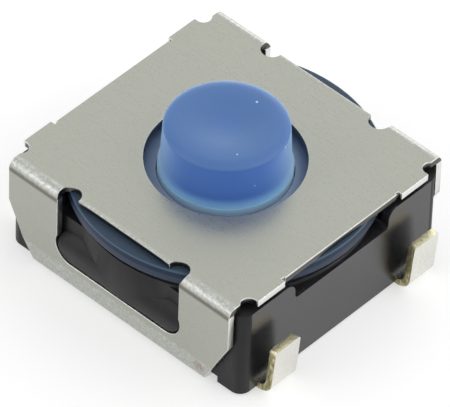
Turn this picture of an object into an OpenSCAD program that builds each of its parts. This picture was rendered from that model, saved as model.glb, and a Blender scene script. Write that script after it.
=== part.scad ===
// Sealed surface-mount push button switch, seen from above on its board.
// X runs from one terminal side to the other, Y from one skirt to the other.
// The board is the plane z = 0 and the button is pressed along -Z.

/* [Housing] */
// Length of the moulded housing between its terminal sides
housing_l = 6.2; // [6.0:0.05:6.5]
// Width of the moulded housing between its skirt sides
housing_w = 5.6; // [5.3:0.05:5.8]
// Height of the moulding from its underside to the rim that the seal sits on
rim_h = 1.75; // [1.6:0.05:2.2]
// Height of the corner posts above the rim
post_h = 0.36; // [0.2:0.02:0.4]
// Gap between the board and the underside of the moulding
standoff = 0.05; // [0.03:0.01:0.1]
// Radius of the four upright corners
corner_r = 0.25; // [0.1:0.05:0.4]
// Distance that the round barrel bulges past the skirt sides
barrel_out = 0.23; // [0.1:0.01:0.25]
// Wall of the barrel round the chamber that holds the dome
barrel_wall = 0.78; // [0.73:0.01:0.83]
// Thickness of the chamber floor
floor_t = 0.6; // [0.5:0.02:0.7]
// Length of a corner post along a terminal side
post_side = 1.47; // [1.35:0.01:1.6]
// Length of a corner post along a skirt side
post_end = 1.35; // [1.2:0.01:1.45]
// Radius of the rounded inner top edges of the posts
post_round = 0.24; // [0.1:0.01:0.3]
// Depth of the open stretches between the posts below the barrel's rim
gap_drop = 0.08; // [0.02:0.01:0.15]
// Radius in the lower corners of the open stretches
gap_r = 0.1; // [0.05:0.01:0.15]
// Height of the top of the boss that fills each window of the cover
boss_top = 1.42; // [1.3:0.01:1.6]
// Radius of the round front edge of a boss, over which the skirt slides on
boss_r = 0.42; // [0.25:0.01:0.5]
// Distance that a boss stays back from the skirt's outer face
boss_back = 0.03; // [0.01:0.01:0.1]
// Radius of the gate recess in the underside
gate_r = 0.55; // [0.3:0.05:0.8]
// Depth of the gate recess
gate_d = 0.1; // [0.05:0.01:0.15]

/* [Cover] */
// Thickness of the cover's sheet
sheet_t = 0.15; // [0.1:0.01:0.18]
// Gap between a skirt and the housing wall behind it
skirt_gap = 0.08; // [0.05:0.01:0.12]
// Outside radius of the bend between the plate and a skirt
bend_r = 0.19; // [0.19:0.01:0.3]
// Distance that the plate's middle edges stay back from the terminal sides
plate_back = 0.05; // [0.02:0.01:0.1]
// Distance that the edge tabs stand past the plate's middle edges
tab_out = 0.07; // [0.03:0.01:0.1]
// Length of an edge tab along the plate's edge
tab_w = 0.76; // [0.62:0.02:0.92]
// Width of the small relief nick beside an edge tab
nick_w = 0.07; // [0.04:0.01:0.1]
// Width of the round relief notch at each corner
notch_w = 0.33; // [0.25:0.01:0.36]
// Depth of a corner notch from the edge of the tab beside it
notch_d = 0.25; // [0.18:0.01:0.32]
// Width of the plate left between a corner notch and the skirt's outer face
corner_w = 0.28; // [0.25:0.01:0.4]
// Distance that a skirt's ends stay back from the terminal sides
skirt_back = 0.17; // [0.1:0.01:0.25]
// Height on the skirt at which its end starts to slant
slant_z1 = 1.42; // [1.2:0.02:1.6]
// Length that the slant takes off each end of the skirt's foot
slant_in = 0.47; // [0.33:0.02:0.57]
// Height of the crease near the skirt's foot
crease_z = 0.62; // [0.5:0.02:0.75]
// Distance that the foot of the skirt leans in below the crease
crease_in = 0.04; // [0:0.01:0.04]
// Outside radius of the fold under the housing
fold_r = 0.22; // [0.2:0.01:0.3]
// Gap between the board and the folded strip
strip_z = 0.03; // [0.02:0.005:0.04]
// Width of the strip that lies under the housing
strip_w = 0.42; // [0.35:0.01:0.45]
// Gap between the end of the strip and the terminals' joggles
strip_end = 0.24; // [0.12:0.02:0.42]
// Play between the strip and the recess in the housing
strip_play = 0.02; // [0.01:0.005:0.04]
// Half width of the window in each skirt
window_x = 1.62; // [1.45:0.01:1.65]
// Height of the window's lower edge
window_z = 0.75; // [0.72:0.01:0.9]
// Distance that the window reaches into the plate from the skirt's outer face
window_in = 0.17; // [0.15:0.01:0.25]
// Radius of the rounded lobes at the window's ends in the plate
lobe_r = 0.23; // [0.18:0.01:0.25]
// Distance from the window's end back to the middle of a lobe
lobe_in = 0.18; // [0.1:0.01:0.2]
// Radius of the round lower corners of the window
toe_r = 0.4; // [0.25:0.01:0.45]
// Distance that the round lower corners bulge past the window's sides
toe_out = 0.04; // [0:0.01:0.06]
// Gap between the window and the boss that fills it
window_play = 0.03; // [0.02:0.01:0.06]

/* [Button and seal] */
// Radius of the button's top
button_r = 1.25; // [1.1:0.01:1.28]
// Height of the button above the cover
button_h = 0.95; // [0.6:0.05:1.6]
// Radius of the rounded edge round the button's top
edge_r = 0.1; // [0.05:0.01:0.25]
// Radius of the button's wall just above its foot
wall_r = 1.285; // [1.28:0.005:1.32]
// Radius of the button's foot ring
foot_r = 1.34; // [1.33:0.01:1.4]
// Depth of the foot ring's upper edge below the cover's top
foot_drop = 0.1; // [0.02:0.01:0.15]
// Height of the flare between the foot ring and the wall
flare_h = 0.26; // [0.1:0.02:0.4]
// Gap all round between the foot ring and the edge of the cover's hole
hole_gap = 0.27; // [0.15:0.01:0.35]
// Thickness of the seal's clamped flange
flange_t = 0.49; // [0.42:0.01:0.6]
// Distance that the foot of the flange stays back from the barrel's edge
flange_back = 0.03; // [0:0.01:0.08]
// Distance that the flange's lip stands out past its foot
lip_out = 0.13; // [0.05:0.01:0.15]
// Height of the lip's underside above the barrel's rim
lip_up = 0.14; // [0.08:0.01:0.2]
// Radius of the lip's rounded edges
lip_edge = 0.08; // [0.04:0.01:0.1]
// Distance from the chamber wall to the flange's inner edge
flange_in = 0.2; // [0.1:0.01:0.3]
// Thickness of the flexible web
web_t = 0.2; // [0.12:0.01:0.24]
// Fall of the web from the button to the flange
web_fall = 0.32; // [0.2:0.01:0.34]
// Depth of the web's inner edge below the cover's top
web_drop = 0.28; // [0.25:0.01:0.34]
// Width of the bead under the flange
bead_w = 0.2; // [0.12:0.01:0.24]
// Height of the bead
bead_h = 0.1; // [0.06:0.01:0.14]
// Play of the bead in its groove
bead_play = 0.02; // [0.01:0.005:0.04]
// Play round the flange, and between the moving button and the web
seal_play = 0.02; // [0.01:0.005:0.03]
// Room between the flange and the corner posts
post_play = 0.07; // [0.04:0.01:0.1]
// Radius of the pusher under the button
pusher_r = 0.6; // [0.4:0.05:0.8]
// Depth of the solid plug of the button below the web's inner edge
plug_d = 0.42; // [0.3:0.02:0.45]

/* [Contacts and dome] */
// Travel of the button from rest to its stop
travel = 0.3; // [0.2:0.01:0.4]
// Gap between the pusher and the dome at rest
pusher_gap = 0.03; // [0.01:0.005:0.05]
// Thickness of the contact stampings
lead_t = 0.16; // [0.1:0.01:0.18]
// Width of each terminal
lead_w = 0.7; // [0.5:0.01:0.74]
// Distance from a skirt side of the housing to the middle of the nearest terminal
lead_side = 0.82; // [0.75:0.01:0.9]
// Distance that the terminals stand out from the housing at their bend
lead_out = 0.37; // [0.35:0.01:0.5]
// Outside radius of the terminal's bend
lead_bend = 0.34; // [0.25:0.01:0.4]
// Lean of a terminal's leg away from the housing, in degrees
lead_lean = 5; // [0:1:8]
// Height of a terminal's top edge above the board
lead_h = 1.24; // [0.9:0.02:1.4]
// Radius of the terminal's upper corners
lead_r = 0.1; // [0.02:0.01:0.12]
// Distance from the housing's wall to the start of the joggle
joggle_in = 0.38; // [0.3:0.01:0.45]
// Length of the joggle up to the chamber floor
joggle_l = 0.4; // [0.3:0.01:0.45]
// Width of the outer contact's ring
ring_w = 0.55; // [0.4:0.01:0.6]
// Width of the tongue that reaches the middle
tongue_w = 0.7; // [0.5:0.01:0.8]
// Gap between the tongue and the ends of the ring
ring_gap = 0.3; // [0.2:0.01:0.4]
// Radius of the pad under the dome's middle
pad_r = 0.5; // [0.4:0.01:0.6]
// Height of the raised spot on the middle pad
spot_h = 0.05; // [0.03:0.01:0.06]
// Radius of the raised spot
spot_r = 0.3; // [0.2:0.01:0.35]
// Width of the bar that joins the middle contact's two terminals
bar_w = 0.34; // [0.25:0.01:0.36]
// Distance of the bar's far edge from the housing's skirt side
bar_wall = 0.2; // [0.18:0.01:0.22]
// Thickness of the dome's spring sheet
dome_t = 0.06; // [0.04:0.005:0.07]
// Gap between the dome's edge and the chamber wall
dome_gap = 0.1; // [0.04:0.01:0.15]
// Radius of the round bite between two of the dome's feet
bite_r = 1.1; // [0.8:0.05:1.3]
// Depth of each bite into the dome
bite_d = 0.55; // [0.4:0.05:0.7]

/* [Hidden] */
$fn = 96;

// A little more than nothing, so that a cut runs right through a face
past = 0.2;
// Heights
rim_z = standoff + rim_h;
post_z = rim_z + post_h;
floor_z = standoff + floor_t;
plate_z = rim_z + flange_t;
top_z = plate_z + sheet_t;
// Housing
barrel_r = housing_w / 2 + barrel_out;
chamber_r = barrel_r - barrel_wall;
side_gap = housing_w / 2 - post_side;
end_gap = housing_l / 2 - post_end;
bulge_z = window_z + window_play;
gap_z = rim_z - gap_drop;
// Terminals
lead_x = housing_l / 2 + lead_out;
lead_y = housing_w / 2 - lead_side;
lead_top = lead_h + lead_t * sin(lead_lean);
leg_l = (lead_h - lead_bend) / cos(lead_lean) + lead_bend * tan(lead_lean);
joggle_x1 = housing_l / 2 - joggle_in;
joggle_x0 = joggle_x1 - joggle_l;
bar_y = housing_w / 2 - bar_wall - bar_w;
// Cover
skirt_x = housing_l / 2 - skirt_back;
skirt_y = housing_w / 2 + skirt_gap + sheet_t;
plate_x = housing_l / 2 - plate_back;
tab_x = plate_x + tab_out;
notch_x = tab_x - notch_d;
notch_y = skirt_y - corner_w - notch_w;
hole_r = foot_r + hole_gap;
window_y = skirt_y - window_in;
boss_y = skirt_y - boss_back;
toe_x = window_x + toe_out - toe_r;
lobe_x = window_x - lobe_in;
slant_x = skirt_x - slant_in;
strip_x = joggle_x0 - strip_end;
foot_y = skirt_y - crease_in;
fold_top = strip_z + fold_r;
// Seal and button
flange_r = barrel_r - flange_back;
lip_r = flange_r + lip_out;
lip_z = rim_z + lip_up;
post_r = lip_r + post_play;
bead_mid = (chamber_r + barrel_r) / 2;
web_r = chamber_r - seal_play;
web_in = foot_r + seal_play;
web_z = top_z - web_drop;
foot_z = top_z - foot_drop;
plug_z = web_z - plug_d;
cap_z = top_z + button_h;
// Dome
dome_r = chamber_r - dome_gap;
dome_rise = travel - pusher_gap + dome_t + spot_h;
dome_ball = (dome_r * dome_r + dome_rise * dome_rise) / (2 * dome_rise);
pusher_z = floor_z + dome_rise + pusher_gap;

// Rectangle with round corners, centred
module round_outline(l, w, r) {
    square([l - 2 * r, w], center = true);
    square([l, w - 2 * r], center = true);
    for (sx = [-1, 1], sy = [-1, 1])
        translate([sx * (l / 2 - r), sy * (w / 2 - r)]) circle(r);
}

// Bent sheet that turns up out of a level sheet below and left of its centre
module bend_up(outer, t, lean = 0) {
    far = 2 * outer;
    intersection() {
        difference() {
            circle(outer);
            circle(outer - t);
        }
        polygon([[0, 0], [0, -far], [far, -far], [far * cos(lean), -far * sin(lean)]]);
    }
}

// Stands an outline drawn in X and Z up along Y, centred
module along_y(w) {
    rotate([90, 0, 0]) linear_extrude(w, center = true) children();
}

// Stands an outline drawn in Y and Z up along X, centred
module along_x(l) {
    rotate([90, 0, 90]) linear_extrude(l, center = true) children();
}

// Copies the children to both sides of the X, then the Y axis
module both_x() {
    children();
    mirror([1, 0, 0]) children();
}

module both_y() {
    children();
    mirror([0, 1, 0]) children();
}

// Open stretches between the corner posts, and room for the seal's lip within the posts
module post_gaps() {
    along_x(housing_l + past) gap_outline(side_gap);
    along_y(housing_w + past) gap_outline(end_gap);
    translate([0, 0, rim_z]) cylinder(r = post_r, h = post_h + past);
}

// Outline of an open stretch: round lower corners, and round top edges of the posts beside it
module gap_outline(half) {
    tall = post_z + past - gap_z;
    translate([0, gap_z + tall]) round_outline(2 * half, 2 * tall, gap_r);
    for (side = [0, 1])
        mirror([side, 0]) translate([half, post_z - post_round]) difference() {
            translate([-past, 0]) square([post_round + past, post_round + past]);
            translate([post_round, 0]) circle(post_round);
        }
}

// Bosses that fill the windows of the cover, right across the housing
module window_bosses() {
    intersection() {
        along_x(housing_l) round_outline(2 * boss_y, 2 * boss_top, boss_r);
        along_y(2 * boss_y + past) window_outline(window_play);
    }
}

// Step under each skirt side that takes the folded strip
module fold_recesses() {
    step = strip_z + sheet_t + strip_play;
    inner = foot_y - fold_r - strip_w - strip_play;
    both_y() translate([-slant_x - strip_play, inner, -past])
        cube([2 * (slant_x + strip_play), housing_w, step + past]);
}

// Ring groove for the seal's bead
module bead_groove() {
    half = bead_w / 2 + bead_play;
    translate([0, 0, rim_z - bead_h - bead_play]) difference() {
        cylinder(r = bead_mid + half, h = bead_h + past);
        translate([0, 0, -past]) cylinder(r = bead_mid - half, h = bead_h + 3 * past);
    }
}

// Black moulding: square block, round barrel, window bosses, corner posts, open chamber
module housing() {
    color("#2b2b2e") difference() {
        union() {
            difference() {
                translate([0, 0, standoff])
                    linear_extrude(post_z - standoff) round_outline(housing_l, housing_w, corner_r);
                post_gaps();
            }
            translate([0, 0, bulge_z]) cylinder(r = barrel_r, h = rim_z - bulge_z);
            window_bosses();
        }
        translate([0, 0, floor_z]) cylinder(r = chamber_r, h = rim_h);
        bead_groove();
        fold_recesses();
        translate([0, 0, standoff - past]) cylinder(r = gate_r, h = gate_d + past);
        middle_stamping();
        outer_stamping();
    }
}

// One terminal: leaning leg, bend, foot, joggle up to the floor, drawn on the +X, +Y side
module lead() {
    translate([0, lead_y, 0]) intersection() {
        along_y(lead_w) {
            translate([lead_x - lead_bend, lead_bend]) {
                rotate(-lead_lean) translate([lead_bend - lead_t, 0]) square([lead_t, leg_l]);
                bend_up(lead_bend, lead_t, lead_lean);
            }
            translate([joggle_x1, 0]) square([lead_x - lead_bend - joggle_x1, lead_t]);
            polygon([[joggle_x1, 0], [joggle_x1, lead_t], [joggle_x0, floor_z],
                     [joggle_x0, floor_z - lead_t]]);
        }
        along_x(2 * (lead_x + lead_h)) round_outline(lead_w, 2 * lead_top, lead_r);
    }
}

// Flat part of a stamping, flush with the chamber floor
module flat_part() {
    translate([0, 0, floor_z - lead_t]) linear_extrude(lead_t) children();
}

// Two terminals, the bar that joins them and the tongue under the dome's middle
module middle_stamping() {
    both_x() mirror([0, 1, 0]) lead();
    flat_part() {
        translate([-joggle_x0, -bar_y - bar_w]) square([2 * joggle_x0, bar_w]);
        both_x() translate([joggle_x0 - lead_w / 2, -lead_y - lead_w / 2])
            square([lead_w / 2, lead_w]);
        translate([-tongue_w / 2, -bar_y - bar_w]) square([tongue_w, bar_y + bar_w]);
        circle(pad_r);
    }
    translate([0, 0, floor_z - lead_t]) cylinder(r = spot_r, h = lead_t + spot_h);
}

module middle_contact() {
    color("#c9c3a4") middle_stamping();
}

// Two terminals and the open ring that carries the dome's feet
module outer_stamping() {
    opening = tongue_w / 2 + ring_gap;
    both_x() lead();
    flat_part() {
        difference() {
            circle(chamber_r);
            circle(chamber_r - ring_w);
            translate([-opening, -2 * chamber_r]) square([2 * opening, 2 * chamber_r]);
        }
        both_x() translate([lead_y / 2, lead_y - lead_w / 2])
            square([joggle_x0 - lead_y / 2, lead_w]);
    }
}

module outer_contact() {
    color("#cfc9ad") outer_stamping();
}

// Shallow spring dome standing on four feet
module snap_dome() {
    color("#b9bcc0") translate([0, 0, floor_z]) difference() {
        intersection() {
            translate([0, 0, dome_rise - dome_ball]) difference() {
                sphere(dome_ball, $fn = 180);
                sphere(dome_ball - dome_t, $fn = 180);
            }
            cylinder(r = dome_r, h = dome_rise + past);
        }
        for (turn = [0 : 90 : 270])
            rotate(turn) translate([dome_r + bite_r - bite_d, 0, -past])
                cylinder(r = bite_r, h = dome_rise + 2 * past);
    }
}

// Silicone seal: clamped flange with its bead, and the web that reaches the button
module seal() {
    color("#4a78b5") rotate_extrude() {
        inner = chamber_r - flange_in;
        translate([inner, rim_z]) square([flange_r - inner, flange_t]);
        translate([flange_r, (lip_z + plate_z) / 2])
            round_outline(2 * lip_out, plate_z - lip_z, lip_edge);
        translate([bead_mid - bead_w / 2, rim_z - bead_h]) square([bead_w, bead_h + past]);
        polygon([[web_in, web_z - web_t], [web_r, web_z - web_fall - web_t],
                 [web_r, web_z - web_fall], [web_in, web_z]]);
        translate([inner, rim_z - seal_play]) square([web_r - inner, 2 * seal_play]);
    }
}

// Silicone button with its foot ring, plug and pusher, turned about Z
module button() {
    color("#5c83be") rotate_extrude() {
        polygon([[0, pusher_z], [pusher_r, pusher_z], [pusher_r, plug_z], [foot_r, plug_z],
                 [foot_r, foot_z], [wall_r, foot_z + flare_h], [button_r, cap_z - edge_r],
                 [button_r - edge_r, cap_z - edge_r], [button_r - edge_r, cap_z], [0, cap_z]]);
        translate([button_r - edge_r, cap_z - edge_r]) intersection() {
            circle(edge_r);
            square(edge_r);
        }
    }
}

// Section of the folded cover on its +Y side, drawn in Y and Z
module cover_section() {
    square_y = skirt_y - bend_r;
    translate([0, plate_z]) square([square_y, sheet_t]);
    translate([square_y, top_z - bend_r]) mirror([0, 1]) bend_up(bend_r, sheet_t);
    translate([skirt_y - sheet_t, crease_z]) square([sheet_t, top_z - bend_r - crease_z]);
    polygon([[foot_y - sheet_t, fold_top], [foot_y, fold_top], [skirt_y, crease_z],
             [skirt_y - sheet_t, crease_z]]);
    translate([foot_y - fold_r, fold_top]) bend_up(fold_r, sheet_t);
    translate([foot_y - fold_r - strip_w, strip_z]) square([strip_w, sheet_t]);
}

// Window outline in a skirt, with round lower corners, drawn smaller all round by the play
module window_outline(play = 0) {
    half = window_x - play;
    translate([-half, window_z + toe_r]) square([2 * half, top_z]);
    translate([-toe_x, window_z + play]) square([2 * toe_x, toe_r]);
    for (side = [-1, 1])
        translate([side * toe_x, window_z + toe_r]) circle(toe_r - play);
}

// What is cut away at one corner of the cover, drawn on the +X, +Y side
module corner_cuts() {
    far = housing_l;
    tall = sheet_t + 2 * past;
    notch_r = notch_w / 2;
    tab_y = notch_y - tab_w;
    translate([0, 0, plate_z - past]) {
        translate([notch_x + notch_r, notch_y + notch_r, 0]) cylinder(r = notch_r, h = tall);
        translate([notch_x + notch_r, notch_y, 0]) cube([far, notch_w, tall]);
        translate([plate_x, -past, 0]) cube([far, tab_y + past, tall]);
        translate([plate_x - nick_w / 2, tab_y - nick_w, 0]) cube([far, nick_w, tall]);
    }
    translate([skirt_x, notch_y + notch_r, -past]) cube([far, far, top_z + 2 * past]);
    translate([0, far / 2, 0]) along_y(far)
        polygon([[skirt_x, slant_z1], [slant_x, crease_z - sheet_t], [strip_x, -past],
                 [far, -past], [far, slant_z1]]);
}

// Steel cover: plate, two skirts with windows, feet folded under the housing
module cover() {
    color("#a9a9a1") difference() {
        along_x(2 * tab_x) union() {
            cover_section();
            mirror([1, 0]) cover_section();
        }
        translate([0, 0, plate_z - past]) cylinder(r = hole_r, h = sheet_t + 2 * past);
        both_x() both_y() corner_cuts();
        both_y() translate([0, window_y + housing_w / 2, 0]) along_y(housing_w) window_outline();
        both_x() both_y() translate([lobe_x, window_y, plate_z - past])
            cylinder(r = lobe_r, h = sheet_t + 2 * past);
    }
}

housing();
middle_contact();
outer_contact();
snap_dome();
seal();
button();
cover();
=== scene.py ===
import math

import bmesh
import bpy
from mathutils import Matrix, Vector


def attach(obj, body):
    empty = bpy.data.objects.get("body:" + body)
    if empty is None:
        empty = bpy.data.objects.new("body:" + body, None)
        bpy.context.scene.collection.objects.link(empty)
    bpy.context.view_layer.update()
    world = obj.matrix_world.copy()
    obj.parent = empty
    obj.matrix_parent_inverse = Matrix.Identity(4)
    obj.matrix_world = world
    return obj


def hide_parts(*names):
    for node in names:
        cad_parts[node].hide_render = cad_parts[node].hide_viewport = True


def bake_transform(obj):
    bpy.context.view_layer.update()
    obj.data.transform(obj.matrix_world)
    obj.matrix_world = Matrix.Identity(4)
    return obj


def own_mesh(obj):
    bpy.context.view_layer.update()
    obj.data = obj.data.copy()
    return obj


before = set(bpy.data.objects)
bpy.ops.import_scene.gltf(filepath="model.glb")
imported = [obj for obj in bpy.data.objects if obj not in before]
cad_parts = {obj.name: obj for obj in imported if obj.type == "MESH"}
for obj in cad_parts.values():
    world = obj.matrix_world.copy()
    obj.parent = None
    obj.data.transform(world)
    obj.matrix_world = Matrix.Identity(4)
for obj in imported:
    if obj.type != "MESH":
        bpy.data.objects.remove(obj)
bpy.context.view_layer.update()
MM = 0.001


# Terminals and their inner stampings
# Two stampings of thin brass strip, silver plated before they are punched, and moulded into the
# housing. Only the four bent legs show: plated on the rolled faces, bare brass where they were cut.

LEG_TOP, LEG_EDGE = 1.25, 0.04


def welded(node):
    """A copy of a CAD node's mesh with its points joined and its flat faces merged."""
    mesh = bmesh.new()
    mesh.from_mesh(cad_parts[node].data)
    bmesh.ops.remove_doubles(mesh, verts=mesh.verts, dist=1e-7)
    bmesh.ops.dissolve_limit(mesh, angle_limit=math.radians(0.2), verts=mesh.verts,
                             edges=mesh.edges)
    return mesh


def break_edges(mesh, width, angle=35):
    """Rounds every edge that turns by more than the angle. It returns the new faces."""
    sharp = [e for e in mesh.edges if e.is_manifold and e.calc_face_angle(0) > math.radians(angle)]
    return bmesh.ops.bevel(mesh, geom=sharp, offset=width, segments=3, profile=0.5,
                           affect="EDGES", clamp_overlap=True)["faces"]


def shown(mesh, name, body=None):
    """An object with this mesh, shaded smooth up to its corners. It rides on the body if named."""
    data = bpy.data.meshes.new(name)
    mesh.to_mesh(data)
    mesh.free()
    if "custom_normal" in data.attributes:
        data.attributes.remove(data.attributes["custom_normal"])
    data.shade_smooth()
    data.set_sharp_from_angle(angle=math.radians(50))
    piece = bpy.data.objects.new(name, data)
    bpy.context.scene.collection.objects.link(piece)
    if body:
        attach(piece, body)
    return piece


def flat_faces(piece):
    """Keeps the flat faces of a piece flat to the light beside their rounded edges."""
    piece.modifiers.new("flat_faces", "WEIGHTED_NORMAL").keep_sharp = True


def tone(red, green, blue):
    """The linear colour of a surface that looks like these levels from 0 to 255."""
    def linear(level):
        share = level / 255
        return share / 12.92 if share <= 0.04045 else ((share + 0.055) / 1.055) ** 2.4
    return linear(red), linear(green), linear(blue), 1


def fill(tree, made, inputs):
    """Gives each named input of a node its value, or links it to the socket that feeds it."""
    for socket, value in inputs.items():
        if isinstance(value, bpy.types.NodeSocket):
            tree.links.new(value, made.inputs[socket])
        else:
            made.inputs[socket].default_value = value


def add(tree, kind, inputs=None, **settings):
    """A new shader node with these settings and inputs."""
    made = tree.nodes.new("ShaderNode" + kind)
    for label, value in settings.items():
        setattr(made, label, value)
    fill(tree, made, inputs or {})
    return made


def sums(tree, operation, one, two=0.0, clamp=False):
    """The result of a Math node on two values or sockets."""
    return add(tree, "Math", {0: one, 1: two}, operation=operation, use_clamp=clamp).outputs[0]


def mixed(tree, share, first, second):
    """The mix of two colours by a share."""
    return add(tree, "Mix", {0: share, 6: first, 7: second}, data_type="RGBA").outputs[2]


def between(tree, value, low, high, to_low=0.0, to_high=1.0):
    """A value carried smoothly from one range onto another."""
    inputs = {"Value": value, "From Min": low, "From Max": high, "To Min": to_low, "To Max": to_high}
    return add(tree, "MapRange", inputs, interpolation_type="SMOOTHSTEP").outputs[0]


def in_mm(tree, stretch=(1, 1, 1)):
    """Places on the object in millimetres, stretched along the three axes."""
    place = add(tree, "TexCoord").outputs["Object"]
    scale = tuple(1000 * s for s in stretch)
    return add(tree, "VectorMath", {0: place, 1: scale}, operation="MULTIPLY").outputs[0]


def effect(name, takes, gives):
    """A new node group with named inputs, each with its value, and named outputs."""
    tree = bpy.data.node_groups.new(name, "ShaderNodeTree")
    for label, value in takes.items():
        kind = "NodeSocketColor" if isinstance(value, tuple) else "NodeSocketFloat"
        tree.interface.new_socket(label, in_out="INPUT", socket_type=kind).default_value = value
    for label in gives:
        kind = "NodeSocketColor" if label == "Color" else "NodeSocketFloat"
        tree.interface.new_socket(label, in_out="OUTPUT", socket_type=kind)
    return tree, tree.nodes.new("NodeGroupInput").outputs, tree.nodes.new("NodeGroupOutput").inputs


def place_effect(tree, group, inputs):
    """The outputs of a node group placed in a material with its own values."""
    made = tree.nodes.new("ShaderNodeGroup")
    made.node_tree = group
    fill(tree, made, inputs)
    return made.outputs


def finish(name, **plain):
    """A new material, its node tree and its shader, with plain values on the shader's sockets."""
    material = bpy.data.materials.new(name)
    material.use_nodes = True
    tree = material.node_tree
    shader = tree.nodes["Principled BSDF"]
    for label, value in plain.items():
        shader.inputs[label.replace("_", " ").title().replace("Ior", "IOR")].default_value = value
    return material, tree, shader


def feed(tree, shader, color, roughness, height, depth):
    """Joins an effect's colour, roughness and height to the shader. The depth is in millimetres."""
    tree.links.new(color, shader.inputs["Base Color"])
    tree.links.new(roughness, shader.inputs["Roughness"])
    bump = add(tree, "Bump", {"Height": height, "Distance": depth * MM, "Strength": 1.0})
    tree.links.new(bump.outputs[0], shader.inputs["Normal"])


# Rolled sheet: a fine grain drawn out along X by the mill's rolls and faint stains. Where it is
# worn, a coarser peel of small facets shows, part in the plain colour and part in the worn one.
rolled_sheet, given, put = effect(
    "rolled_sheet",
    {"Color": (0.5, 0.5, 0.5, 1), "Worn Color": (0.8, 0.8, 0.8, 1), "Worn": 0.0, "Grain": 30.0,
     "Stain": 0.05, "Roughness": 0.3},
    ["Color", "Roughness", "Height"])
tree = rolled_sheet
lines = add(tree, "TexNoise", {"Vector": in_mm(tree, (0.18, 1, 1)), "Scale": given["Grain"],
                               "Detail": 4.0, "Roughness": 0.6}).outputs["Fac"]
specks = add(tree, "TexNoise", {"Vector": in_mm(tree), "Scale": given["Grain"],
                                "Detail": 2.0}).outputs["Fac"]
cloud = add(tree, "TexNoise", {"Vector": in_mm(tree), "Scale": 0.9, "Detail": 3.0}).outputs["Fac"]
grain = sums(tree, "ADD", sums(tree, "MULTIPLY", lines, 0.6), sums(tree, "MULTIPLY", specks, 0.4))
even = sums(tree, "SUBTRACT", grain, 0.5)
shade = sums(tree, "MULTIPLY", sums(tree, "SUBTRACT", cloud, 0.5), given["Stain"])
level = sums(tree, "ADD", sums(tree, "ADD", sums(tree, "MULTIPLY", even, 0.16), shade), 1.0)
peel = add(tree, "TexNoise", {"Vector": in_mm(tree), "Scale": 14.0, "Detail": 3.0,
                              "Roughness": 0.7}).outputs["Fac"]
speckled = sums(tree, "MULTIPLY", sums(tree, "SUBTRACT", peel, 0.5), 5.0)
rubbed = sums(tree, "MULTIPLY", given["Worn"], sums(tree, "ADD", speckled, 0.5), clamp=True)
surface = mixed(tree, rubbed, given["Color"], given["Worn Color"])
scaled = add(tree, "VectorMath", {0: surface, 3: level}, operation="SCALE").outputs[0]
tree.links.new(scaled, put["Color"])
tree.links.new(sums(tree, "ADD", sums(tree, "MULTIPLY", even, 0.25), given["Roughness"]),
               put["Roughness"])
rough = sums(tree, "MULTIPLY", sums(tree, "MULTIPLY", peel, given["Worn"]), 5.0)
tree.links.new(sums(tree, "ADD", sums(tree, "MULTIPLY", grain, 0.2), rough), put["Height"])

# Sheared edge: a punch leaves a burnished band, and fine streaks across the sheet below it
sheared_edge, given, put = effect(
    "sheared_edge", {"Color": (0.5, 0.5, 0.5, 1), "Torn Color": (0.2, 0.2, 0.2, 1), "Torn": 0.4},
    ["Color", "Roughness", "Height"])
tree = sheared_edge
streaks = add(tree, "TexNoise", {"Vector": in_mm(tree, (1, 1, 0.25)), "Scale": 26.0,
                                 "Detail": 3.0}).outputs["Fac"]
depth = sums(tree, "ADD", sums(tree, "SUBTRACT", streaks, 0.5), given["Torn"])
torn = between(tree, depth, 0.35, 0.75)
tree.links.new(mixed(tree, torn, given["Color"], given["Torn Color"]), put["Color"])
tree.links.new(sums(tree, "ADD", sums(tree, "MULTIPLY", torn, 0.25), 0.28), put["Roughness"])
tree.links.new(streaks, put["Height"])

plated, tree, shader = finish("silver_plate", metallic=1.0)
look = place_effect(tree, rolled_sheet, {
    "Color": tone(226, 225, 218), "Worn Color": tone(240, 238, 226), "Grain": 34.0,
    "Stain": 0.25, "Roughness": 0.27})
feed(tree, shader, look["Color"], look["Roughness"], look["Height"], 0.018)

cut_brass, tree, shader = finish("cut_brass", metallic=1.0)
height = add(tree, "SeparateXYZ", {0: in_mm(tree)}).outputs["Z"]
look = place_effect(tree, sheared_edge, {
    "Color": tone(216, 210, 176), "Torn Color": tone(136, 129, 90),
    "Torn": between(tree, height, LEG_TOP - 0.14, LEG_TOP - 0.02, 0.62, 0.42)})
feed(tree, shader, look["Color"], look["Roughness"], look["Height"], 0.006)

for node in ("middle_contact", "outer_contact"):
    mesh = welded(node)
    break_edges(mesh, LEG_EDGE * MM)
    for face in mesh.faces:
        at_top = face.calc_center_median().z > (LEG_TOP - 0.12) * MM and abs(face.normal.x) < 0.5
        face.material_index = int(abs(face.normal.y) > 0.7 or at_top)
    strip = shown(mesh, node + "_strip", "base")
    strip.data.materials.append(plated)
    strip.data.materials.append(cut_brass)
    flat_faces(strip)
    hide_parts(node)


# Housing
# One moulding of black glass-filled nylon, formed round the two stampings. Its outside has the
# fine satin skin of the mould, so that a flat wall mirrors what stands close to it as a soft blur.
# The two bosses that fill the cover's windows, and the corner posts, get a duller copy of the nylon,
# rougher and less reflective, which paints shade on them.

MOULD_EDGE = 0.02
BOSS_X, BOSS_Y, BOSS_Z = 1.9, 2.3, 0.62

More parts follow.
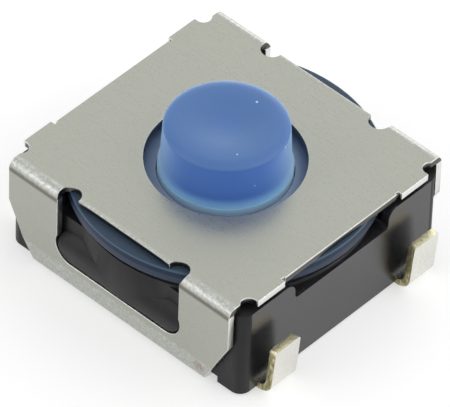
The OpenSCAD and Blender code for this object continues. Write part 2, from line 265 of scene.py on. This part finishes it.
# Moulded skin: fine pores in the surface, and faint streaks where the melt flowed
moulded_skin, given, put = effect(
    "moulded_skin",
    {"Color": (0.02, 0.02, 0.02, 1), "Flow Color": (0.03, 0.03, 0.03, 1), "Grain": 18.0,
     "Roughness": 0.25, "Spread": 0.1},
    ["Color", "Roughness", "Height"])
tree = moulded_skin
pores = add(tree, "TexNoise", {"Vector": in_mm(tree), "Scale": given["Grain"], "Detail": 5.0,
                               "Roughness": 0.65}).outputs["Fac"]
flow = add(tree, "TexNoise", {"Vector": in_mm(tree, (1, 1, 0.5)), "Scale": 1.6, "Detail": 3.0,
                              "Distortion": 0.6}).outputs["Fac"]
streaky = between(tree, flow, 0.3, 0.7)
tree.links.new(mixed(tree, streaky, given["Color"], given["Flow Color"]), put["Color"])
spread = sums(tree, "MULTIPLY", sums(tree, "SUBTRACT", pores, 0.5), given["Spread"])
tree.links.new(sums(tree, "ADD", spread, given["Roughness"]), put["Roughness"])
tree.links.new(pores, put["Height"])

# Dust: pale specks a few hundredths of a millimetre wide, in a few cells of a fine net
dust, given, put = effect("dust", {"Net": 6.0, "Size": 0.12, "Share": 0.06}, ["Mask"])
tree = dust
net = add(tree, "TexVoronoi", {"Vector": in_mm(tree), "Scale": given["Net"], "Randomness": 1.0})
near = sums(tree, "LESS_THAN", net.outputs["Distance"], given["Size"])
picked = add(tree, "SeparateColor", {0: net.outputs["Color"]}).outputs[0]
few = sums(tree, "LESS_THAN", picked, given["Share"])
tree.links.new(sums(tree, "MULTIPLY", near, few), put["Mask"])


def nylon(name, roughness, **plain):
    """Black glass-filled nylon, with a few specks of dust."""
    material, tree, shader = finish(name, **plain)
    look = place_effect(tree, moulded_skin, {
        "Color": (0.011, 0.011, 0.013, 1), "Flow Color": (0.017, 0.017, 0.019, 1), "Grain": 16.0,
        "Roughness": roughness, "Spread": 0.14})
    specks = place_effect(tree, dust, {"Net": 5.0, "Size": 0.1, "Share": 0.05})
    surface_color = mixed(tree, specks["Mask"], look["Color"], (0.12, 0.12, 0.12, 1))
    feed(tree, shader, surface_color, look["Roughness"], look["Height"], 0.003)
    return material


mesh = welded("housing")
break_edges(mesh, MOULD_EDGE * MM)
# Painted shade: faces of the bosses and corner posts take the duller copy of the nylon, which makes
# them darker where shade falls.
for face in mesh.faces:
    x, y, z = face.calc_center_median() / MM
    face.material_index = int(abs(y) > BOSS_Y and (z > BOSS_Z or abs(x) > BOSS_X))
moulding = shown(mesh, "housing_moulding", "base")
moulding.data.materials.append(nylon("black_nylon", 0.24, ior=1.7))
moulding.data.materials.append(nylon("black_nylon_painted_shade", 0.4, ior=1.5, specular_ior_level=0.25))
flat_faces(moulding)
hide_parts("housing")


# Snap dome
# A shallow dish of stainless spring sheet on four feet, which stands loose on the outer contact's
# ring inside the chamber and snaps flat under the button. None of it shows on a closed switch.

spring_sheet, tree, shader = finish("spring_sheet", metallic=1.0)
look = place_effect(tree, rolled_sheet, {
    "Color": tone(188, 188, 186), "Worn Color": tone(214, 214, 212), "Grain": 40.0,
    "Stain": 0.1, "Roughness": 0.22})
feed(tree, shader, look["Color"], look["Roughness"], look["Height"], 0.002)

dish = shown(welded("snap_dome"), "snap_dome_sheet", "base")
dish.data.materials.append(spring_sheet)
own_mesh(dish)
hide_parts("snap_dome")


# Seal
# The rim of the silicone moulding: a thick flange that the cover clamps on the barrel, with a lip
# that overhangs it and a bead in the barrel's groove, and the thin web that lets the button travel.

FLANGE_IN, FLANGE_R, LIP_R = 2.05, 3.0, 3.13
RIM_Z, LIP_Z, FLANGE_TOP, LIP_EDGE, LIP_TOP_EDGE = 1.8, 1.94, 2.29, 0.08, 0.03
BEAD_IN, BEAD_OUT, BEAD_Z, BEAD_EDGE = 2.54, 2.74, 1.7, 0.03
WEB_IN, WEB_R, WEB_TOP, WEB_FALL, WEB_T = 1.36, 2.23, 2.16, 0.32, 0.2


def arc(centre, radius, start, end, steps=8):
    """Points on a round from one angle to another, in degrees, in the plane of radius and height."""
    angles = [math.radians(start + (end - start) * i / steps) for i in range(steps + 1)]
    return [(centre[0] + radius * math.cos(a), centre[1] + radius * math.sin(a)) for a in angles]


def turned(outline, steps=160):
    """A mesh made by carrying an outline of radius and height, in millimetres, round the Z axis."""
    mesh = bmesh.new()
    rings = []
    for radius, height in outline:
        turns = [2 * math.pi * i / steps for i in range(steps if radius > 0 else 1)]
        rings.append([mesh.verts.new((radius * math.cos(t) * MM, radius * math.sin(t) * MM,
                                      height * MM)) for t in turns])
    closed = outline[0][0] > 0
    for one, two in zip(rings, rings[1:] + rings[:1] if closed else rings[1:]):
        for i in range(steps):
            corners = [one[i % len(one)], one[(i + 1) % steps % len(one)],
                       two[(i + 1) % steps % len(two)], two[i % len(two)]]
            mesh.faces.new(list(dict.fromkeys(corners)))
    bmesh.ops.recalc_face_normals(mesh, faces=mesh.faces)
    return mesh


def silicone(name, tones, painted_sheen=None, **plain):
    """Blue translucent silicone rubber. The tones, each from its height in mm, go from low to high.
    The painted sheen says, at two heights, how pale the colour is painted where the frosted skin is
    seen at a slant."""
    material, tree, shader = finish(
        name, ior=1.42, subsurface_radius=(0.3, 0.45, 0.6), subsurface_scale=0.6 * MM, **plain)
    height = add(tree, "SeparateXYZ", {0: in_mm(tree)}).outputs["Z"]
    color = tones[0][1]
    for (low, _), (high, next_color) in zip(tones, tones[1:]):
        color = mixed(tree, between(tree, height, low, high), color, next_color)
    look = place_effect(tree, moulded_skin, {
        "Color": color, "Flow Color": color, "Grain": 22.0, "Roughness": 0.4, "Spread": 0.2})
    specks = place_effect(tree, dust, {"Net": 4.2, "Size": 0.11, "Share": 0.1})
    surface_color = mixed(tree, specks["Mask"], look["Color"], tone(205, 220, 238))
    # Painted sheen: the colour is painted paler where the frosted skin is seen at a slant.
    if painted_sheen:
        (low, low_share), (high, high_share) = painted_sheen
        slant = add(tree, "LayerWeight", {"Blend": 0.5}).outputs["Facing"]
        share = between(tree, height, low, high, low_share, high_share)
        share = sums(tree, "MULTIPLY", between(tree, slant, 0.35, 0.9), share)
        surface_color = mixed(tree, share, surface_color, tone(178, 214, 252))
    feed(tree, shader, surface_color, look["Roughness"], look["Height"], 0.003)
    return material


# Painted light and shade: the seal's tones are darkened for the shade under the cover. They paint
# shade in the undercut below the lip, a highlight bar on the lip's side, a band of shade above it
# and a highlight line along the lip's top edge.
seal_silicone_painted_light = silicone("seal_silicone_painted_light", [
    (LIP_Z - 0.04, tone(30, 38, 50)), (LIP_Z + 0.06, tone(56, 68, 88)),
    (LIP_Z + 0.16, tone(56, 68, 88)), (LIP_Z + 0.21, tone(22, 44, 68)),
    (LIP_Z + 0.28, tone(22, 44, 68)), (FLANGE_TOP - 0.02, tone(80, 106, 130)),
    (FLANGE_TOP - 0.002, tone(58, 74, 92))], subsurface_weight=0.3, specular_ior_level=0.3)
section = [(FLANGE_IN, RIM_Z), (BEAD_IN, RIM_Z)]
section += arc((BEAD_IN + BEAD_EDGE, BEAD_Z + BEAD_EDGE), BEAD_EDGE, 180, 270, 4)
section += arc((BEAD_OUT - BEAD_EDGE, BEAD_Z + BEAD_EDGE), BEAD_EDGE, 270, 360, 4)
section += [(BEAD_OUT, RIM_Z), (FLANGE_R, RIM_Z), (FLANGE_R, LIP_Z - BEAD_EDGE)]
section += arc((FLANGE_R + BEAD_EDGE, LIP_Z - BEAD_EDGE), BEAD_EDGE, 180, 90, 4)
section += arc((LIP_R - LIP_EDGE, LIP_Z + LIP_EDGE), LIP_EDGE, 270, 360, 10)
section += arc((LIP_R - LIP_TOP_EDGE, FLANGE_TOP - LIP_TOP_EDGE), LIP_TOP_EDGE, 0, 90, 6)
section += [(FLANGE_IN, FLANGE_TOP)]
flange = shown(turned(section, 200), "seal_flange", "base")
flange.data.materials.append(seal_silicone_painted_light)
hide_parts("seal")

# The web falls from the button's foot to the flange. On the switch its inner edge moves with the
# button; here it rides on no body.
WEB_STEPS = 14
across = [(WEB_IN + (WEB_R - WEB_IN) * i / WEB_STEPS, WEB_TOP - WEB_FALL * i / WEB_STEPS)
          for i in range(WEB_STEPS + 1)]
section = [(radius, height - WEB_T) for radius, height in across] + across[::-1]
web = shown(turned(section, 160), "seal_web")
# The web's pale tones are painted light that stands in for light in the shaded ring round the
# button. The web is painted darker towards its low, deeper-shaded edge.
web.data.materials.append(silicone("web_silicone_painted_light", [
    (WEB_TOP - WEB_FALL, tone(140, 158, 190)), (WEB_TOP, tone(156, 178, 212))],
    subsurface_weight=0.5, specular_ior_level=0.4))
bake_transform(web)
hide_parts("seal")


# Button
# The middle of the same silicone moulding: a round button with a dished top on a thicker foot ring,
# and the plug and pusher that reach down to the dome. The wall is a deeper blue than the top. The
# foot is painted paler, as a painted glow of light through the thin silicone. A painted sheen turns
# the colour pale where the frosted skin is seen at a slant.

PUSHER_R, PUSHER_Z, PUSHER_EDGE, NECK_R = 0.6, 1.06, 0.05, 0.06
PLUG_Z, PLUG_EDGE = 1.74, 0.04
FOOT_R, FOOT_Z, FOOT_EDGE, FLARE_TOP, WALL_R = 1.34, 2.34, 0.025, 2.6, 1.285
TOP_R, TOP_Z, TOP_EDGE, DISH_R, DISH = 1.25, 3.39, 0.1, 1.0, 0.09
FLARE_STEPS, WALL_STEPS, DISH_STEPS = 12, 6, 14

section = [(0, PUSHER_Z)]
section += arc((PUSHER_R - PUSHER_EDGE, PUSHER_Z + PUSHER_EDGE), PUSHER_EDGE, 270, 360, 5)
section += arc((PUSHER_R + NECK_R, PLUG_Z - NECK_R), NECK_R, 180, 90, 5)
section += arc((FOOT_R - PLUG_EDGE, PLUG_Z + PLUG_EDGE), PLUG_EDGE, 270, 360, 5)
section += arc((FOOT_R - FOOT_EDGE, FOOT_Z - FOOT_EDGE), FOOT_EDGE, 0, 60, 5)
flare = FOOT_R - FOOT_EDGE / 2 - WALL_R
for i in range(1, FLARE_STEPS + 1):
    rise = i / FLARE_STEPS
    section.append((WALL_R + flare * (1 - rise) ** 2, FOOT_Z + (FLARE_TOP - FOOT_Z) * rise))
for i in range(1, WALL_STEPS):
    rise = i / WALL_STEPS
    section.append((WALL_R + (TOP_R - WALL_R) * rise,
                    FLARE_TOP + (TOP_Z - TOP_EDGE - FLARE_TOP) * rise))
section += [(DISH_R + (TOP_R - DISH_R) * x, TOP_Z - TOP_EDGE + TOP_EDGE * y)
            for x, y in arc((0, 0), 1, 0, 90, 14)[:-1]]
for i in range(DISH_STEPS + 1):
    radius = DISH_R * (1 - i / DISH_STEPS)
    section.append((radius, TOP_Z - DISH * (0.5 + 0.5 * math.cos(math.pi * radius / DISH_R))))
cap = shown(turned(section, 200), "button_cap", "button")
# The pale tones at the foot are a painted glow of light through the thin silicone, and the painted
# sheen is strongest there.
cap.data.materials.append(silicone("button_silicone", [
    (FOOT_Z - 0.06, tone(192, 222, 255)), (FOOT_Z - 0.02, tone(150, 204, 252)),
    (FLARE_TOP, tone(78, 124, 204)), (TOP_Z - 0.2, tone(78, 124, 204)),
    (TOP_Z - 0.04, tone(82, 122, 180))], painted_sheen=((FOOT_Z + 0.05, 1.0), (FLARE_TOP, 0.5)),
    subsurface_weight=0.9, sheen_weight=0.7, sheen_roughness=0.4, sheen_tint=(0.5, 0.78, 1.0, 1)))
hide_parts("button")


# Cover
# One blank of satin stainless sheet, punched with its holes and windows, then folded down over
# the housing on two sides and in under its edges. The folds are stretched bright and grainy.

SHEET, TOP, HOLE_R = 0.15, 2.44, 1.61
EDGE_X, TAB_X, SIDE_X = 3.05, 3.12, 2.93
NICK_X, NICK_Y, TAB_Y = 3.015, 1.59, 1.66
NOTCH_Y, NOTCH_R, NOTCH_DEEP = 2.42, 0.165, 0.25
SIDE_Y, BEND_R = 3.03, 0.19
CREASE_Z, CREASE_IN, CREASE_STEP = 0.62, 0.04, 0.025
FOLD_R, FOLD_Z, STRIP_X, STRIP_W, STRIP_Z = 0.22, 0.03, 2.25, 0.42, 0.12
SLANT_Z, SLANT_X, SLANT_LOW = 1.42, 2.46, 0.47
WINDOW_X, WINDOW_Y, WINDOW_Z, TOE_R, TOE_X = 1.62, 2.86, 0.75, 0.4, 1.26
LOBE_X, LOBE_R = 1.44, 0.23
WELD, CUT_EDGE = 0.012, 0.013
SHINE_IN, SHINE_DOWN = 0.14, 0.11
RUST_SPOT, RUST_R = (2.18, -3.0, 0.4), 0.2

# The sheet's middle line on the +Y side: along the plate, round the bend, down to a soft crease,
# and in under the housing
half = SHEET / 2
line = [(0, TOP - half)]
line += arc((SIDE_Y - BEND_R, TOP - BEND_R), BEND_R - half, 90, 0, 9)
line += [(SIDE_Y - half - lean, CREASE_Z + CREASE_STEP * rise)
         for rise, lean in ((2, 0), (1, 0.001), (0, 0.003), (-1, 0.006))]
line += arc((SIDE_Y - CREASE_IN - FOLD_R, FOLD_Z + FOLD_R), FOLD_R - half, 0, -90, 9)
line += [(SIDE_Y - CREASE_IN - FOLD_R - STRIP_W, FOLD_Z + half)]
reach = [0.0]
for one, two in zip(line, line[1:]):
    reach.append(reach[-1] + math.dist(one, two))


def along(height):
    """How far along the flat blank a height on the skirt lies from the middle of the plate."""
    for i in range(2, len(line) - 1):
        if line[i][1] >= height >= line[i + 1][1]:
            share = (line[i][1] - height) / (line[i][1] - line[i + 1][1])
            return reach[i] + share * (reach[i + 1] - reach[i])
    return reach[-1]


def beside(off):
    """The middle line moved towards the outside of the sheet by this much, or inside if below 0."""
    headings = [math.atan2(b[1] - a[1], b[0] - a[0]) for a, b in zip(line, line[1:])]
    headings = [h - 2 * math.pi if h > 1 else h for h in headings]
    moved = []
    for i, (y, z) in enumerate(line):
        before, after = headings[max(i - 1, 0)], headings[min(i, len(headings) - 1)]
        middle, far = (before + after) / 2, off / math.cos((after - before) / 2)
        moved.append((y - math.sin(middle) * far, z + math.cos(middle) * far))
    return moved


def folded(corner, path):
    """Where a corner of the flat blank comes to lie on the folded sheet, in metres."""
    x, distance = corner.co.x, corner.co.y
    for i in range(len(reach) - 1):
        if abs(distance) <= reach[i + 1] + 1e-9:
            break
    share = min(1, (abs(distance) - reach[i]) / (reach[i + 1] - reach[i]))
    y = path[i][0] + share * (path[i + 1][0] - path[i][0])
    z = path[i][1] + share * (path[i + 1][1] - path[i][1])
    return x * MM, math.copysign(y, distance) * MM, z * MM


# One quarter of the blank's outline, mirrored twice: the plate's edge with its nick and tab, the
# notch at the corner, the skirt's slanted side and the strip
quarter = [(EDGE_X, 0), (EDGE_X, NICK_Y), (NICK_X, NICK_Y), (NICK_X, TAB_Y), (TAB_X, TAB_Y),
           (TAB_X, NOTCH_Y)]
notch_x = TAB_X - NOTCH_DEEP + NOTCH_R
notch_end = 180 - math.degrees(math.acos((notch_x - SIDE_X) / NOTCH_R))
quarter += arc((notch_x, NOTCH_Y + NOTCH_R), NOTCH_R, -90, notch_end - 360, 16)
quarter += [(SIDE_X, along(SLANT_Z)), (SLANT_X, along(SLANT_LOW)), (STRIP_X, along(STRIP_Z)),
            (STRIP_X, reach[-1])]
side = quarter + [(-x, y) for x, y in quarter[::-1]]
rim = side + [(-x, -y) for x, y in side[1:-1]]

# The window: rounded at its foot, and opened by a round lobe at each end of the bend
toe = along(WINDOW_Z) - TOE_R
toe_top = math.degrees(math.acos((WINDOW_X - TOE_X) / TOE_R))
lobe_low = math.degrees(math.acos((WINDOW_X - LOBE_X) / LOBE_R))
window = arc((TOE_X, toe), TOE_R, 90, -toe_top, 14)
window += arc((LOBE_X, WINDOW_Y), LOBE_R, lobe_low, -180, 22)
window += [(-x, y) for x, y in window[::-1]]
hole = arc((0, 0), HOLE_R, 0, 360, 144)[:-1]

# The blank is filled and cut across in rows, one for each corner of the middle line
blank = bmesh.new()
outlines = []
for outline in (rim, hole, window, [(x, -y) for x, y in window]):
    corners = [blank.verts.new((x, y, 0)) for x, y in outline]
    outlines += [blank.edges.new((a, b)) for a, b in zip(corners, corners[1:] + corners[:1])]
bmesh.ops.triangle_fill(blank, edges=outlines, use_beauty=True, normal=(0, 0, 1))
for row in [side * r for r in reach[1:-1] for side in (-1, 1)]:
    everything = blank.verts[:] + blank.edges[:] + blank.faces[:]
    bmesh.ops.bisect_plane(blank, geom=everything, dist=1e-6, plane_co=(0, row, 0),
                           plane_no=(0, 1, 0))
bmesh.ops.remove_doubles(blank, verts=blank.verts, dist=WELD)

# It is folded twice, as the outer face and the inner one, and closed along every punched edge
mesh = bmesh.new()
faces = []
for path in (beside(half), beside(-half)):
    faces.append({corner: mesh.verts.new(folded(corner, path)) for corner in blank.verts})
    for face in blank.faces:
        mesh.faces.new([faces[-1][corner] for corner in face.verts])
for edge in blank.edges:
    if edge.is_boundary:
        one, two = edge.verts
        sheared = mesh.faces.new([faces[0][one], faces[0][two], faces[1][two], faces[1][one]])
        sheared.material_index = 1
blank.free()
bmesh.ops.recalc_face_normals(mesh, faces=mesh.faces)
bmesh.ops.dissolve_limit(mesh, angle_limit=math.radians(0.2), verts=mesh.verts,
                         edges=mesh.edges, delimit={"MATERIAL"})
# The rounded edges take the bright edge material, partly burnish and partly a painted edge
# highlight. Over the windows, where the edge lies in shade, they keep the satin colour.
for face in break_edges(mesh, CUT_EDGE * MM, 50):
    x, y, z = face.calc_center_median() / MM
    high = z > TOP - SHEET - 0.02
    over_window = high and abs(y) > WINDOW_Y - LOBE_R - 0.03 and abs(x) < LOBE_X + LOBE_R
    face.material_index = 0 if over_window else 2
sheet = shown(mesh, "cover_sheet", "base")
flat_faces(sheet)

# Satin steel: grainy where it was stretched, over the bend and below the crease. The paler colour
# there is partly the stretched steel and partly a painted highlight. The steel is painted darker in
# the line under the bend, as a painted reflection of the plate's shade in the skirt. One corner of
# the fold carries a small brown spot.
satin_steel, tree, shader = finish("satin_steel", metallic=0.78)
places = add(tree, "SeparateXYZ", {0: in_mm(tree)}).outputs
out = sums(tree, "SUBTRACT", sums(tree, "ABSOLUTE", places["Y"]), SIDE_Y - SHINE_IN)
up = sums(tree, "SUBTRACT", places["Z"], TOP - SHINE_DOWN)
apart = sums(tree, "SQRT", sums(tree, "ADD", sums(tree, "MULTIPLY", out, out),
                                sums(tree, "MULTIPLY", up, up)))
# Paler worn colour over the bend and below the crease: partly the grain of stretched steel, partly a
# painted highlight.
at_bend = between(tree, apart, 0.06, 0.17, 1.0, 0.0)
in_foot = between(tree, places["Z"], CREASE_Z - 0.03, CREASE_Z + 0.01, 0.5, 0.0)
stretched_and_highlight = sums(tree, "MAXIMUM", at_bend, in_foot)
# Painted shade: a darker line under the bend, a painted reflection of the plate's shade in the
# skirt.
below = sums(tree, "ABSOLUTE", sums(tree, "SUBTRACT", places["Z"], TOP - BEND_R))
painted_shade_under_bend = sums(tree, "MULTIPLY", between(tree, below, 0.02, 0.09, 1.0, 0.0),
                  between(tree, sums(tree, "ABSOLUTE", places["Y"]), SIDE_Y - 0.04, SIDE_Y - 0.01))
from_spot = add(tree, "VectorMath", {0: in_mm(tree), 1: RUST_SPOT}, operation="DISTANCE")
rust = between(tree, from_spot.outputs["Value"], 0.06, RUST_R, 0.6, 0.0)
steel = mixed(tree, painted_shade_under_bend, tone(173, 175, 165), tone(116, 114, 104))
look = place_effect(tree, rolled_sheet, {
    "Color": mixed(tree, rust, steel, tone(140, 104, 76)),
    "Worn Color": tone(206, 208, 209), "Worn": stretched_and_highlight, "Grain": 26.0, "Stain": 0.04,
    "Roughness": 0.3})
feed(tree, shader, look["Color"], look["Roughness"], look["Height"], 0.004)

# Sheared steel: dark along the plate's own edges, apart from its burr, and bright on the skirts
sheared_steel, tree, shader = finish("sheared_steel", metallic=1.0)
places = add(tree, "SeparateXYZ", {0: in_mm(tree)}).outputs
off_centre = sums(tree, "ABSOLUTE", places["X"])
from_tab = between(tree, off_centre, EDGE_X + 0.02, EDGE_X + 0.04, 1.0, 0.0)
in_plate = between(tree, places["Z"], TOP - 0.18, TOP - 0.16)
burr = between(tree, places["Z"], TOP - 0.04, TOP - 0.02, 1.0, 0.35)
on_edge = sums(tree, "MULTIPLY", sums(tree, "MULTIPLY", from_tab, in_plate), burr)
look = place_effect(tree, sheared_edge, {
    "Color": mixed(tree, on_edge, tone(228, 229, 226), tone(92, 92, 88)),
    "Torn Color": mixed(tree, on_edge, tone(168, 169, 164), tone(60, 60, 58)), "Torn": 0.3})
feed(tree, shader, look["Color"], look["Roughness"], look["Height"], 0.006)

# Burnished steel: the narrow rounded edges, rubbed bright by handling and painted paler still as a
# painted edge highlight
burnished_highlight_steel, tree, shader = finish("burnished_highlight_steel", metallic=1.0)
look = place_effect(tree, rolled_sheet, {
    "Color": tone(205, 207, 200), "Worn Color": tone(245, 246, 244), "Worn": 0.5, "Grain": 30.0,
    "Stain": 0.1, "Roughness": 0.22})
feed(tree, shader, look["Color"], look["Roughness"], look["Height"], 0.002)

for material in (satin_steel, sheared_steel, burnished_highlight_steel):
    sheet.data.materials.append(material)
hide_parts("cover")


# Studio
# A plain white table under a soft white dome of light, with broad lamps behind on the right, on
# the left and behind, and the photograph's long lens. Lengths of the room are in metres.

DOME_LIGHT = 0.62
FLOOR_SIZE = 0.6


def white_to_lens(tree):
    """The rays that see the surroundings at full white: from the lens, mirrored or let through."""
    path = add(tree, "LightPath").outputs
    glossy = sums(tree, "MAXIMUM", path["Is Camera Ray"], path["Is Glossy Ray"])
    return sums(tree, "MAXIMUM", glossy, path["Is Transmission Ray"])


world = bpy.data.worlds.new("studio")
bpy.context.scene.world = world
world.use_nodes = True
tree = world.node_tree
background = tree.nodes["Background"]
background.inputs["Color"].default_value = (1, 1, 1, 1)
strength = add(tree, "MapRange", {"Value": white_to_lens(tree), "To Min": DOME_LIGHT, "To Max": 1.0})
tree.links.new(strength.outputs[0], background.inputs["Strength"])

bpy.ops.mesh.primitive_plane_add(size=FLOOR_SIZE)
floor = bpy.context.object
floor.name = "floor"
table, tree, shader = finish("white_table", base_color=(0.6, 0.6, 0.6, 1), roughness=0.9,
                             emission_color=(1, 1, 1, 1))
glow = add(tree, "MapRange", {"Value": white_to_lens(tree), "To Min": 0.0, "To Max": 0.5})
tree.links.new(glow.outputs[0], shader.inputs["Emission Strength"])
floor.data.materials.append(table)


def lamp(name, direction, distance, size, radiance):
    """A square soft lamp that looks at the switch from a direction, as bright as the radiance."""
    data = bpy.data.lights.new(name, "AREA")
    data.size = size
    data.energy = radiance * size * size * math.pi
    piece = bpy.data.objects.new(name, data)
    bpy.context.scene.collection.objects.link(piece)
    towards = Vector(direction).normalized()
    piece.location = towards * distance
    piece.rotation_mode = "QUATERNION"
    piece.rotation_quaternion = towards.to_track_quat("Z", "Y")


lamp("lamp_right_behind", (0.62, 0.45, 0.64), distance=0.25, size=0.27, radiance=1.05)
lamp("lamp_left", (-0.47, -0.71, 0.53), distance=0.25, size=0.18, radiance=1.05)
lamp("lamp_behind", (-0.45, 0.85, 0.27), distance=0.25, size=0.15, radiance=1.2)

# The camera that fits the photograph, seen from the right, in front and above
AZIMUTH, ELEVATION, ROLL = math.radians(41.7614), math.radians(44.9273), math.radians(2.0338)
DISTANCE = 150.493 * MM
TARGET = Vector((0.125, -0.118, 1.35)) * MM
IMAGE_WIDTH, FOCAL_PIXELS = 450, 7713.48
back = Vector((math.sin(AZIMUTH) * math.cos(ELEVATION), -math.cos(AZIMUTH) * math.cos(ELEVATION),
               math.sin(ELEVATION)))
right = Vector((math.cos(AZIMUTH), math.sin(AZIMUTH), 0))
upward = back.cross(right)
turned_right = right * math.cos(ROLL) + upward * math.sin(ROLL)
turned_up = upward * math.cos(ROLL) - right * math.sin(ROLL)
camera_data = bpy.data.cameras.new("camera")
camera_data.sensor_width = 36
camera_data.lens = FOCAL_PIXELS * camera_data.sensor_width / IMAGE_WIDTH
camera_data.clip_start = 0.01
camera_data.clip_end = 10
camera = bpy.data.objects.new("camera", camera_data)
bpy.context.scene.collection.objects.link(camera)
camera.matrix_world = Matrix.Translation(TARGET + back * DISTANCE) @ Matrix(
    (turned_right, turned_up, back)).transposed().to_4x4()
bpy.context.scene.camera = camera
bpy.context.scene.view_settings.view_transform = "Standard"
